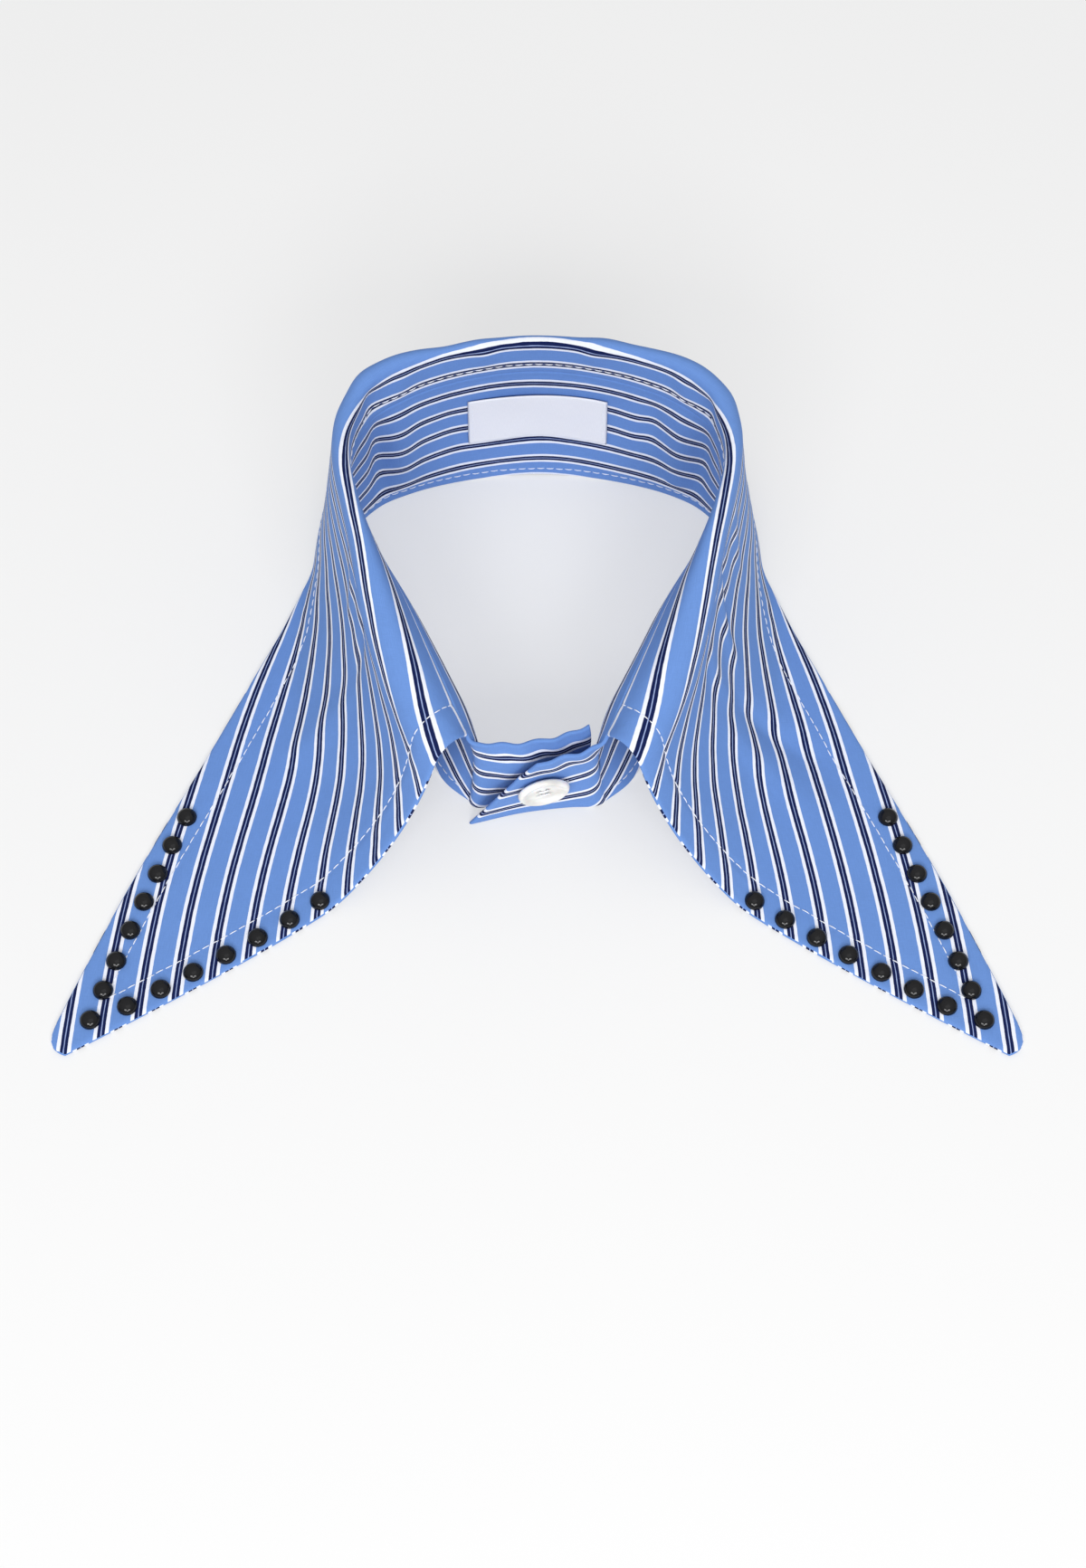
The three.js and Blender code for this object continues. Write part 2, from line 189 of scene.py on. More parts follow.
def fall_depth(s, fan):
    depth = np.full_like(s, FALL_BACK)
    for _ in range(20):
        along = (s + depth * np.sin(fan)) / EDGE_ALONG
        edge = FALL_BACK + (EDGE_DOWN - FALL_BACK) * along + 4 * EDGE_BOW * along * (1 - along)
        depth = edge / np.cos(fan)
    return depth


class Fall:
    """The right half of the fall: its sections at the places s along the seam."""

    def __init__(self, s):
        self.s = s
        self.x, self.y, heading, self.row = RIGHT_PATH(s)
        self.fan = np.radians(self.row["fan"])
        self.depth = fall_depth(s, self.fan)
        toward = math.pi / 2 - heading - np.radians(self.row["sweep"])
        self.out = np.stack([np.cos(toward), np.sin(toward)], 1)
        self.forward = np.stack([np.sin(toward), -np.cos(toward)], 1)
        self.step = self.depth / PROFILE_STEPS
        rise, roll = self.row["rise"][:, None], self.row["roll"][:, None]
        middle = (np.arange(PROFILE_STEPS) + 0.5)[None] * self.step[:, None]
        turned = smooth(middle, rise, rise + roll)
        t = np.clip((middle - rise - roll) / (self.depth[:, None] - rise - roll), 0, 1)
        drop, end = self.row["drop"][:, None], self.row["end"][:, None]
        fall = end + (drop - end) * (1 - t) ** FALL_EASE
        lean = np.radians(self.row["flare"][:, None] * (1 - turned) + fall * turned)
        zero = np.zeros((len(s), 1))
        self.reach = np.hstack([zero, np.cumsum(np.sin(lean), 1)]) * self.step[:, None]
        self.height = np.hstack([zero, np.cumsum(np.cos(lean), 1)]) * self.step[:, None]
        self.height += self.row["height"][:, None]

    def points(self, l):
        """Middle points and flat cut places for lengths l, one row of lengths a section."""
        places, cut = np.zeros((*l.shape, 3)), np.zeros((*l.shape, 2))
        for i in range(len(self.s)):
            f = l[i] / self.step[i]
            index = np.arange(PROFILE_STEPS + 1)
            a = np.interp(f, index, self.reach[i])
            z = np.interp(f, index, self.height[i]) - CLOTH / 2
            share = np.clip(l[i] / self.depth[i], 0, 1)
            b = FRONT_BOW * (self.s[i] / SEAM_HALF) ** 6 * np.sin(math.pi * share**0.8)
            places[i, :, 0] = self.x[i] + a * self.out[i, 0] + b * self.forward[i, 0]
            places[i, :, 1] = self.y[i] + a * self.out[i, 1] + b * self.forward[i, 1]
            places[i, :, 2] = (z + np.sqrt(z * z + TABLE_EASE**2)) / 2 + CLOTH / 2
            cos, sin = math.cos(self.fan[i]), math.sin(self.fan[i])
            cut[i, :, 0] = self.s[i] + l[i] * sin + b * cos
            cut[i, :, 1] = l[i] * cos - b * sin
        return places, cut


def stand_points(side, s, down):
    """Middle points of the stand at s, down the wall from 0 at the seam to 1 at the foot."""
    x, y, heading, row = (RIGHT_PATH if side > 0 else LEFT_PATH)(s)
    steps = 80
    t = (np.arange(steps) + 0.5) / steps
    foot, flare = row["foot"][..., None], row["flare"][..., None]
    lean = np.radians(foot + (flare - foot) * (1 - t) ** 3)
    part = np.clip(down[..., None] * steps - np.arange(steps), 0, 1)
    reach = (part * np.sin(lean)).sum(-1) / steps
    drop = (part * np.cos(lean)).sum(-1) / steps
    wall = row["height"] / (np.cos(lean).sum(-1) / steps)
    a = -reach * wall
    place = np.stack([side * (x + a * np.sin(heading)), y + a * np.cos(heading),
                      row["height"] - drop * wall], -1)
    return place, wall


# ---------------------------------------------------------------- mesh helpers
def new_object(name, vertices, faces, material, cut=None):
    """A smooth-shaded mesh, in metres, that rides on the collar. cut holds (u, v) for each corner."""
    mesh = bpy.data.meshes.new(name)
    mesh.from_pydata((np.asarray(vertices) * MM).tolist(), [], [list(f) for f in faces])
    mesh.polygons.foreach_set("use_smooth", [True] * len(mesh.polygons))
    if cut is not None:
        layer = mesh.uv_layers.new(name="cut")
        layer.data.foreach_set("uv", (np.asarray(cut, np.float32) / 10).ravel())
    mesh.materials.append(material)
    obj = bpy.data.objects.new(name, mesh)
    bpy.context.scene.collection.objects.link(obj)
    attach(obj, "root")
    return obj


def grid_normals(points):
    along = np.gradient(points, axis=0)
    across = np.gradient(points, axis=1)
    normal = np.cross(along, across)
    return normal / np.maximum(np.linalg.norm(normal, axis=2, keepdims=True), 1e-9)


def shell(points, above, below, cut, under_shift, rim, rim_width):
    """A closed wall round a grid of middle points. rim is each point's distance from the edge:
    the lower ply shows on the last rim_width of the upper side, as in a turned edge."""
    ni, nj = points.shape[:2]
    normal = grid_normals(points)
    top = (points + normal * above[..., None]).reshape(-1, 3)
    low = (points - normal * below[..., None]).reshape(-1, 3)
    top[:, 2] = np.maximum(top[:, 2], 0)
    low[:, 2] = np.maximum(low[:, 2], 0)
    index = np.arange(ni * nj).reshape(ni, nj)
    edge = np.ones((ni, nj), bool)
    edge[1:-1, 1:-1] = False
    under = index + ni * nj
    under[edge] = index[edge]
    keep = np.concatenate([np.ones(ni * nj, bool), ~edge.ravel()])
    renumber = np.cumsum(keep) - 1
    vertices = np.concatenate([top, low])[keep]
    corner = [index[:-1, :-1], index[1:, :-1], index[1:, 1:], index[:-1, 1:]]
    upper = np.stack([c.ravel() for c in corner], 1)
    lower = np.stack([under.ravel()[c.ravel()] for c in reversed(corner)], 1)
    flat = cut.reshape(-1, 2)
    upper_cut, lower_cut = flat[upper], flat[np.stack([c.ravel() for c in reversed(corner)], 1)]
    lower_cut = lower_cut + np.array([0, under_shift])
    turned = rim.ravel()[upper].mean(1) < rim_width
    upper_cut[turned] += np.array([0, under_shift])
    faces = renumber[np.concatenate([upper, lower])]
    return vertices, faces, np.concatenate([upper_cut, lower_cut]).reshape(-1, 2)


def edge_distance(points, line):
    """Distance of each grid point from a line of points."""
    flat = points.reshape(-1, 3)
    a, b = line[:-1], line[1:]
    best = np.full(len(flat), np.inf)
    for p, q in zip(a, b):
        d = q - p
        t = np.clip(((flat - p) @ d) / max(d @ d, 1e-12), 0, 1)
        best = np.minimum(best, np.linalg.norm(flat - p - t[:, None] * d, axis=1))
    return best.reshape(points.shape[:2])


def round_edge(distance, half):
    """Half thickness near an edge: a half circle."""
    t = 1 - np.clip(distance / half, 0, 1)
    return half * np.sqrt(np.clip(1 - t * t, 0, 1))


def sample(values, f):
    i = np.clip(np.floor(f).astype(int), 0, len(values) - 2)
    t = (f - i)[:, None]
    return values[i] * (1 - t) + values[i + 1] * t


STITCH_RINGS = 5
STITCH_SIDES = 6


def stitches(name, lines, material, length=STITCH_LENGTH, pitch=STITCH_PITCH, radius=THREAD_R):
    """Topstitching: short threads along lines of (points, normals), their ends sunk in the cloth."""
    vertices, faces = [], []
    rng = np.random.default_rng(7)
    for points, normals in lines:
        steps = np.linalg.norm(np.diff(points, axis=0), axis=1)
        walked = np.concatenate([[0], np.cumsum(steps)])
        for k in range(int(steps.sum() / pitch)):
            middle = (k + 0.5) * pitch
            share = np.linspace(-0.5, 0.5, STITCH_RINGS)
            f = np.interp(middle + share * length, walked, np.arange(len(points)))
            centre, up = sample(points, f), sample(normals, f)
            up /= np.linalg.norm(up, axis=1, keepdims=True)
            arch = 1 - (2 * share) ** 2
            centre = centre + up * (arch[:, None] * radius * 1.5 - radius * 0.8)
            way = np.gradient(centre, axis=0)
            way /= np.linalg.norm(way, axis=1, keepdims=True)
            side = np.cross(way, up)
            side /= np.linalg.norm(side, axis=1, keepdims=True)
            centre = centre + side * rng.normal(0, 0.06)
            thick = radius * (0.45 + 0.55 * np.sqrt(np.clip(arch, 0, 1)))
            first = len(vertices)
            for r in range(STITCH_RINGS):
                for q in range(STITCH_SIDES):
                    turn = 2 * math.pi * q / STITCH_SIDES
                    off = math.cos(turn) * side[r] + math.sin(turn) * up[r]
                    vertices.append(centre[r] + thick[r] * off)
            for r in range(STITCH_RINGS - 1):
                for q in range(STITCH_SIDES):
                    a = first + r * STITCH_SIDES + q
                    b = first + r * STITCH_SIDES + (q + 1) % STITCH_SIDES
                    faces.append((a, b, b + STITCH_SIDES, a + STITCH_SIDES))
            faces.append(tuple(first + q for q in reversed(range(STITCH_SIDES))))
            last = first + (STITCH_RINGS - 1) * STITCH_SIDES
            faces.append(tuple(last + q for q in range(STITCH_SIDES)))
    return new_object(name, vertices, faces, material)


# ---------------------------------------------------------------- materials
def new_material(name):
    material = bpy.data.materials.new(name)
    material.use_nodes = True
    nodes = material.node_tree.nodes
    nodes.clear()
    output = nodes.new("ShaderNodeOutputMaterial")
    shader = nodes.new("ShaderNodeBsdfPrincipled")
    material.node_tree.links.new(shader.outputs["BSDF"], output.inputs["Surface"])
    return material, nodes, material.node_tree.links, shader


class Graph:
    """Short calls for the nodes of one material."""

    def __init__(self, nodes, links):
        self.nodes, self.links = nodes, links

    def put(self, value, socket):
        if isinstance(value, (int, float, tuple)):
            socket.default_value = value
        else:
            self.links.new(value, socket)

    def math(self, operation, a, b=0.0, c=0.0):
        node = self.nodes.new("ShaderNodeMath")
        node.operation = operation
        for socket, value in zip(node.inputs, (a, b, c)):
            self.put(value, socket)
        return node.outputs[0]

    def mix(self, factor, a, b):
        node = self.nodes.new("ShaderNodeMix")
        node.data_type = "RGBA"
        self.put(factor, node.inputs["Factor"])
        self.put(a, node.inputs[6])
        self.put(b, node.inputs[7])
        return node.outputs[2]

    def noise(self, vector, scale, detail=2.0, rough=0.5):
        node = self.nodes.new("ShaderNodeTexNoise")
        node.inputs["Scale"].default_value = scale
        node.inputs["Detail"].default_value = detail
        node.inputs["Roughness"].default_value = rough
        self.links.new(vector, node.inputs["Vector"])
        return node.outputs[0]

    def scaled(self, vector, factors):
        node = self.nodes.new("ShaderNodeVectorMath")
        node.operation = "MULTIPLY"
        self.links.new(vector, node.inputs[0])
        node.inputs[1].default_value = factors
        return node.outputs[0]

    def bump(self, height, strength, distance):
        node = self.nodes.new("ShaderNodeBump")
        node.inputs["Strength"].default_value = strength
        node.inputs["Distance"].default_value = distance
        self.links.new(height, node.inputs["Height"])
        return node.outputs[0]

    def ramp(self, value, stops):
        node = self.nodes.new("ShaderNodeValToRGB")
        elements = node.color_ramp.elements
        while len(elements) < len(stops):
            elements.new(0.5)
        for element, (position, colour) in zip(elements, stops):
            element.position = position
            element.color = (*colour, 1)
        self.links.new(value, node.inputs["Fac"])
        return node.outputs["Color"]


BLUE = (0.136, 0.266, 0.610)
NAVY = (0.004, 0.011, 0.070)
PALE = (0.33, 0.42, 0.70)
WHITE = (0.80, 0.83, 0.93)
STRIPE_PITCH = 8.8     # repeat of the stripes, mm
STRIPE_CENTRE = 8.0    # middle of the first pair, from the seam
PALE_HALF = 0.11
NAVY_HALF = 0.93
WHITE_HALF = 1.85
YARN = 0.28            # pitch of the weave


def shirting_material():
    """Plain-woven cotton with woven stripes that run along the cut's u."""
    material, nodes, links, shader = new_material("shirting")
    g = Graph(nodes, links)
    cut = nodes.new("ShaderNodeUVMap")
    cut.uv_map = "cut"
    place = g.scaled(cut.outputs["UV"], (10, 10, 1))
    parts = nodes.new("ShaderNodeSeparateXYZ")
    links.new(place, parts.inputs[0])
    u, v = parts.outputs["X"], parts.outputs["Y"]
    wander = g.noise(g.scaled(place, (0.35, 1.4, 1)), 1.0)
    v = g.math("ADD", v, g.math("MULTIPLY", g.math("SUBTRACT", wander, 0.5), 0.22))
    half = STRIPE_PITCH / 2
    repeat = g.math("WRAP", g.math("SUBTRACT", v, STRIPE_CENTRE), half, -half)
    away = g.math("DIVIDE", g.math("ABSOLUTE", repeat), half)
    soft = 0.05 / half
    stops = []
    for colour, start, end in (
        (PALE, 0, PALE_HALF),
        (NAVY, PALE_HALF, NAVY_HALF),
        (WHITE, NAVY_HALF, WHITE_HALF),
        (BLUE, WHITE_HALF, half),
    ):
        stops.append((start / half + (soft if start else 0), colour))
        stops.append((end / half - (soft if end < half else 0), colour))
    stripe = g.ramp(away, stops)
    yarns = g.noise(g.scaled(place, (0.30, 5.0, 1)), 1.0, 3.0, 0.6)
    weft = g.noise(g.scaled(place, (5.0, 0.35, 1)), 1.0, 2.0, 0.6)
    tone = g.math("ADD", g.math("MULTIPLY", yarns, 0.6), g.math("MULTIPLY", weft, 0.4))
    tone = g.math("MULTIPLY_ADD", tone, 0.34, 0.83)
    value = nodes.new("ShaderNodeHueSaturation")
    links.new(stripe, value.inputs["Color"])
    links.new(tone, value.inputs["Value"])
    links.new(value.outputs["Color"], shader.inputs["Base Color"])
    warp_wave = g.math("SINE", g.math("MULTIPLY", v, 2 * math.pi / YARN))
    weft_wave = g.math("SINE", g.math("MULTIPLY", u, 2 * math.pi / YARN))
    weave = g.math("ADD", warp_wave, weft_wave)
    slub = g.math("MULTIPLY", g.math("ADD", yarns, weft), 2.0)
    height = g.math("ADD", weave, slub)
    links.new(g.bump(height, 0.25, 0.00006), shader.inputs["Normal"])
    shader.inputs["Roughness"].default_value = 0.82
    shader.inputs["Specular IOR Level"].default_value = 0.12
    shader.inputs["Sheen Weight"].default_value = 0.03
    shader.inputs["Sheen Roughness"].default_value = 0.45
    return material


def thread_material():
    material, nodes, links, shader = new_material("thread")
    g = Graph(nodes, links)
    place = nodes.new("ShaderNodeTexCoord").outputs["Object"]
    twist = g.noise(place, 2600.0, 2.0)
    links.new(g.mix(twist, (0.74, 0.78, 0.88, 1), (0.92, 0.93, 0.96, 1)), shader.inputs["Base Color"])
    links.new(g.bump(twist, 0.4, 0.00008), shader.inputs["Normal"])
    shader.inputs["Roughness"].default_value = 0.5
    shader.inputs["Sheen Weight"].default_value = 0.2
    return material


def satin_material():
    """White ribbon satin: long floats across the ribbon and a faint weft."""
    material, nodes, links, shader = new_material("label_satin")
    g = Graph(nodes, links)
    cut = nodes.new("ShaderNodeUVMap")
    cut.uv_map = "cut"
    place = g.scaled(cut.outputs["UV"], (10, 10, 1))
    parts = nodes.new("ShaderNodeSeparateXYZ")
    links.new(place, parts.inputs[0])
    floats = g.noise(g.scaled(place, (9.0, 0.5, 1)), 1.0, 3.0, 0.6)
    cloud = g.noise(g.scaled(place, (0.10, 0.16, 1)), 1.0, 2.0)
    ribs = g.math("SINE", g.math("MULTIPLY", parts.outputs["Y"], 2 * math.pi / 0.32))
    tone = g.mix(floats, (0.74, 0.75, 0.80, 1), (0.90, 0.90, 0.93, 1))
    tone = g.mix(g.math("MULTIPLY", cloud, 0.35), tone, (0.76, 0.77, 0.85, 1))
    links.new(tone, shader.inputs["Base Color"])
    height = g.math("ADD", g.math("MULTIPLY", ribs, 0.35), floats)
    links.new(g.bump(height, 0.22, 0.00008), shader.inputs["Normal"])
    shader.inputs["Roughness"].default_value = 0.42
    shader.inputs["Sheen Weight"].default_value = 0.1
    shader.inputs["Anisotropic"].default_value = 0.5
    return material


def pearl_material():
    """Pearly polyester: faint milky bands in a glossy white."""
    material, nodes, links, shader = new_material("button_pearl")
    g = Graph(nodes, links)
    place = nodes.new("ShaderNodeTexCoord").outputs["Object"]
    bands = g.noise(g.scaled(place, (90.0, 260.0, 200.0)), 1.0, 3.0, 0.55)
    milk = g.ramp(bands, [
        (0.32, (0.66, 0.65, 0.62)), (0.52, (0.82, 0.81, 0.79)), (0.68, (0.90, 0.90, 0.91)),
    ])
    links.new(milk, shader.inputs["Base Color"])
    links.new(g.math("MULTIPLY_ADD", bands, 0.15, 0.17), shader.inputs["Roughness"])
    shader.inputs["Coat Weight"].default_value = 0.5
    shader.inputs["Coat Roughness"].default_value = 0.08
    shader.inputs["Subsurface Weight"].default_value = 0.12
    shader.inputs["Subsurface Scale"].default_value = 0.002
    return material


def enamel_material():
    """Black enamel with a little unevenness in its tone and gloss."""
    material, nodes, links, shader = new_material("stud_black")
    g = Graph(nodes, links)
    place = nodes.new("ShaderNodeTexCoord").outputs["Object"]
    cloud = g.noise(place, 700.0, 3.0)
    black = g.mix(cloud, (0.002, 0.002, 0.003, 1), (0.006, 0.006, 0.007, 1))
    links.new(black, shader.inputs["Base Color"])
    links.new(g.math("MULTIPLY_ADD", cloud, 0.05, 0.05), shader.inputs["Roughness"])
    shader.inputs["Specular IOR Level"].default_value = 0.32
    return material


def floor_material():
    """A white table lit a little from below, so that shadows stay faint."""
    material, nodes, links, shader = new_material("floor")
    g = Graph(nodes, links)
    place = nodes.new("ShaderNodeTexCoord").outputs["Object"]
    cloud = g.noise(place, 3.0, 2.0)
    links.new(g.mix(cloud, (0.39, 0.39, 0.39, 1), (0.41, 0.41, 0.41, 1)), shader.inputs["Base Color"])
    shader.inputs["Emission Color"].default_value = (1, 1, 1, 1)
    shader.inputs["Emission Strength"].default_value = 0.48
    shader.inputs["Roughness"].default_value = 0.9
    shader.inputs["Specular IOR Level"].default_value = 0.1
    return material


SHIRTING = shirting_material()
THREAD = thread_material()
SATIN = satin_material()
PEARL = pearl_material()
ENAMEL = enamel_material()


# ---------------------------------------------------------------- the fall
def fall_places():
    """Places of the sections along half of the seam, closer where they fan out."""
    fine = np.arange(0, SEAM_HALF, 0.25)
    probe = Fall(fine)
    hem = fine + probe.depth * np.sin(probe.fan)
    spread = np.gradient(hem, fine)
    need = np.maximum(1 / 1.25, spread / 2.2)
    count = np.concatenate([[0], np.cumsum(need[:-1] * 0.25)])
    steps = np.arange(0, count[-1], 1.0)
    places = np.interp(steps, count, fine)
    tip = SEAM_HALF - TIP_OVER * np.array([1, 0.8, 0.62, 0.46, 0.33, 0.22, 0.13, 0.06, 0.02, 0])
    return np.concatenate([places[places < SEAM_HALF - TIP_OVER * 1.1], tip])


def fall_lengths(fall):
    start = SEAM_JOINT
    rise, roll = fall.row["rise"], fall.row["roll"]
    fade = np.clip(1 - (SEAM_HALF - fall.s) / TIP_OVER, 0, 1)
    end = fall.depth - TIP_CUT * fade**2
    rolled = rise + roll
    seam_rows = np.array([0, 0.12, 0.35, 0.7])[None] * np.minimum(rise / 1.5, 1)[:, None] + start
    first = seam_rows[:, -1:]
    up = first + (rise[:, None] - first) * (np.arange(1, 6) / 6)[None]
    over = rise[:, None] + roll[:, None] * (np.arange(22) / 22)[None]
    long = end - rolled - 1.4
    down = rolled[:, None] + long[:, None] * (np.arange(71) / 70)[None]
    rim = end[:, None] - np.array([0.95, 0.6, 0.35, 0.15, 0.04, 0])[None]
    return np.hstack([seam_rows, up, over, down, rim])


def build_fall():
    half = Fall(fall_places())
    lengths = fall_lengths(half)
    right, cut = half.points(lengths)
    left = right[:0:-1] * np.array([-1, 1, 1])
    left_cut = cut[:0:-1] * np.array([-1, 1])
    points = np.concatenate([left, right])
    flat = np.concatenate([left_cut, cut])
    s = np.concatenate([-half.s[:0:-1], half.s])[:, None] + 0 * flat[..., 0]
    l = np.concatenate([lengths[:0:-1], lengths])
    return {"points": points, "cut": flat, "s": s, "l": l, "half": half}


# Soft creases of the fall, one a row, with the columns s0 l0 s1 l1 half height: both ends, the
# left side negative, then half width and height in mm, a trough where negative.
FALL_CREASES = [
    [104, 30, 118, 58, 2.4, 1.3],
    [98, 26, 108, 52, 2.6, -0.7],
    [112, 22, 128, 44, 2.6, -0.7],
    [118, 26, 126, 58, 2.4, 0.7],
    [124, 52, 136, 88, 2.4, -1.4],
    [130, 50, 141, 84, 2.2, 0.9],
    [86, 26, 92, 52, 3.0, 0.9],
    [-100, 24, -110, 48, 3.0, 0.9],
    [-112, 26, -124, 50, 2.8, -0.9],
    [-122, 40, -134, 78, 3.0, 0.7],
    [52, 14, 60, 40, 4.0, 0.8],
    [-46, 14, -54, 38, 4.0, 0.8],
    [-47, 1, -50, 16, 3.4, -1.3],
    [-39, 1, -38, 15, 3.6, 0.7],
    [50, 1, 52, 16, 3.2, -1.2],
    [42, 1, 42, 15, 3.2, 0.8],
    [14, 6, 16, 16, 3.0, 0.5],
    [-14, 5, -15, 15, 3.0, 0.5],
    [18, 10, 22, 30, 5.0, 0.5],
    [-26, 8, -24, 28, 5.0, -0.5],
]


def crease_height(rows, s, l):
    """Height of soft troughs and ridges at (s, l)."""
    height = np.zeros_like(s)
    for s0, l0, s1, l1, half, tall in rows:
        ds, dl = s1 - s0, l1 - l0
        t = np.clip(((s - s0) * ds + (l - l0) * dl) / (ds * ds + dl * dl), 0, 1)
        away = np.hypot(s - s0 - t * ds, l - l0 - t * dl)
        fade = np.sin(math.pi * np.clip(t, 0.02, 0.98)) ** 0.7
        height += tall * fade * np.exp(-((away / half) ** 2))
    return height


def waves(x, y, seed, scale):
    """Smooth uneven waves, the same each run."""
    rng = np.random.default_rng(seed)
    total = np.zeros_like(x)
    for k in range(6):
        a, b = rng.uniform(-1, 1, 2) / scale
        total += np.sin(2 * math.pi * (a * x + b * y) + rng.uniform(0, 6.28)) / 6**0.5
    return total


CLOTH_WAVES = [(0.10, 3, 34), (0.05, 5, 11)]     # height, seed and length of soft unevenness
PUCKER_SHARE = 0.6     # how unevenly a row of stitches draws the cloth in
PUCKER_LENGTH = 4.5


def fall_wall():
    fall = build_fall()
    points = fall["points"]
    outer = points[:, -1]
    fronts = [points[0], points[-1]]
    to_outer = edge_distance(points, outer)
    to_front = np.minimum(edge_distance(points, fronts[0]), edge_distance(points, fronts[1]))
    to_seam = np.abs(fall["l"] - SEAM_JOINT)
    fall["to_outer"], fall["to_front"] = to_outer, to_front
    to_edge = np.minimum(to_outer, to_front)
    normal = grid_normals(points)
    lift = crease_height(FALL_CREASES, fall["s"], fall["l"])
    free = smooth(to_edge, 2, 14) * smooth(fall["l"], 4, 14)
    u, v = fall["cut"][..., 0], fall["cut"][..., 1]
    for height, seed, length in CLOTH_WAVES:
        lift += height * waves(u, v, seed, length) * free
    points = points + normal * lift[..., None]
    fall["points"] = points
    fall["normal"] = grid_normals(points)
    pucker = 1 + PUCKER_SHARE * waves(u, v, 8, PUCKER_LENGTH)
    groove = np.exp(-(((to_edge - EDGE_STITCH) / 0.55) ** 2)) * 0.16 * pucker
    bulk = 0.16 * smooth(to_edge, 0.2, 1.2) * (1 - smooth(to_edge, 6.2, EDGE_STITCH))
    ripple = 0.05 * waves(u, v, 9, 5.5)
    ripple *= smooth(to_edge, 0.5, 3) * (1 - smooth(to_edge, 7, 12))
    half = round_edge(np.minimum(to_edge, to_seam), CLOTH / 2)
    above = half + (bulk - groove + ripple) * smooth(to_edge, 0, 0.8)
    below = half + (bulk * 0.5 - groove * 0.5) * smooth(to_edge, 0, 0.8)
    fall["above"], fall["below"], fall["to_edge"] = above, below, to_edge
    return fall


BACK_MARGIN = 0.1      # from the middle of the cloth to the back of the fall's box


def frame_shift(fall):
    """The CAD frame's origin is under the middle of the box: the y shift of the form."""
    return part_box("collar_fall")[1].y / MM - fall["points"][..., 1].max() - BACK_MARGIN


BACK_STRIPE_SHIFT = 3.9     # the fall is cut bowed, so its stripes lie nearer the seam at the back
FOLD_PAIR = STRIPE_CENTRE + STRIPE_PITCH     # the pair that lies on the fold
FOLD_PULL = 1.34            # how much the fold draws that pair together
PAIR_REACH = 2.1            # half of the pair with its white lines
UNDER_PLY_SHIFT = 4.1       # the two plies' stripes don't meet
TURNED_EDGE = 0.22          # width of lower ply that shows at the edge


def fold_pull(v, s):
    """The cut's v with the pair on the fold drawn together, less so at the back."""
    away = v - FOLD_PAIR
    reach = np.abs(away)
    half = STRIPE_PITCH / 2
    drawn = np.interp(reach, (0, PAIR_REACH, half), (0, PAIR_REACH * FOLD_PULL, half))
    share = 0.4 + 0.6 * smooth(np.abs(s), 40, 80)
    pulled = FOLD_PAIR + np.sign(away) * (reach + (drawn - reach) * share)
    return np.where(reach < half, pulled, v)


def add_fall(fall):
    cut = fall["cut"] + 0
    back = 1 - smooth(np.abs(fall["s"]), 45, 80)
    cut[..., 1] = np.abs(cut[..., 1]) + BACK_STRIPE_SHIFT * back
    cut[..., 1] = fold_pull(cut[..., 1], fall["s"])
    rim = np.where(fall["l"] < 20, 99.0, fall["to_edge"])
    vertices, faces, corner_cut = shell(
        fall["points"], fall["above"], fall["below"], cut, UNDER_PLY_SHIFT, rim, TURNED_EDGE)
    piece = new_object("fall_cloth", vertices, faces, SHIRTING, corner_cut)
    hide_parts("collar_fall")
    return piece


def contour(fall, values, level, other, columns):
    """The line on the fall's upper side where values equal level, and its normals. It follows
    the columns of the grid, or its rows."""
    points, normals = [], []
    surface = fall["points"] + fall["normal"] * fall["above"][..., None]
    grid = (surface, fall["normal"], values, other)
    if not columns:
        grid = tuple(np.swapaxes(part, 0, 1) for part in grid)
    surface, normal, values, other = grid
    for i in range(len(values)):
        inside = values[i] > level
        hits = np.nonzero(inside[:-1] & ~inside[1:])[0]
        if not len(hits):
            continue
        j = hits[-1]
        t = (values[i, j] - level) / (values[i, j] - values[i, j + 1])
        if other[i, j] < level - 0.5:
            continue
        points.append(surface[i, j] * (1 - t) + surface[i, j + 1] * t)
        normals.append(normal[i, j] * (1 - t) + normal[i, j + 1] * t)
    return np.array(points), np.array(normals)


def fall_stitches(fall):
    """Topstitching along the outer edge and both front edges."""
    outer = contour(fall, fall["to_outer"], EDGE_STITCH, fall["to_front"], True)
    lines = [outer]
    middle = fall["points"].shape[0] // 2
    for side in (slice(middle, None), slice(middle, None, -1)):
        part = {key: fall[key][side] for key in ("points", "normal", "above")}
        rows = contour(part, fall["to_front"][side], EDGE_STITCH, fall["to_outer"][side], False)
        lines.append(rows)
    back = np.abs(fall["s"][:, 0]) < SEAM_STITCH_END
    part = {key: fall[key][back] for key in ("points", "normal", "above", "l")}
    lines.append(row_line(part, part["l"], SEAM_STITCH, False))
    return lines


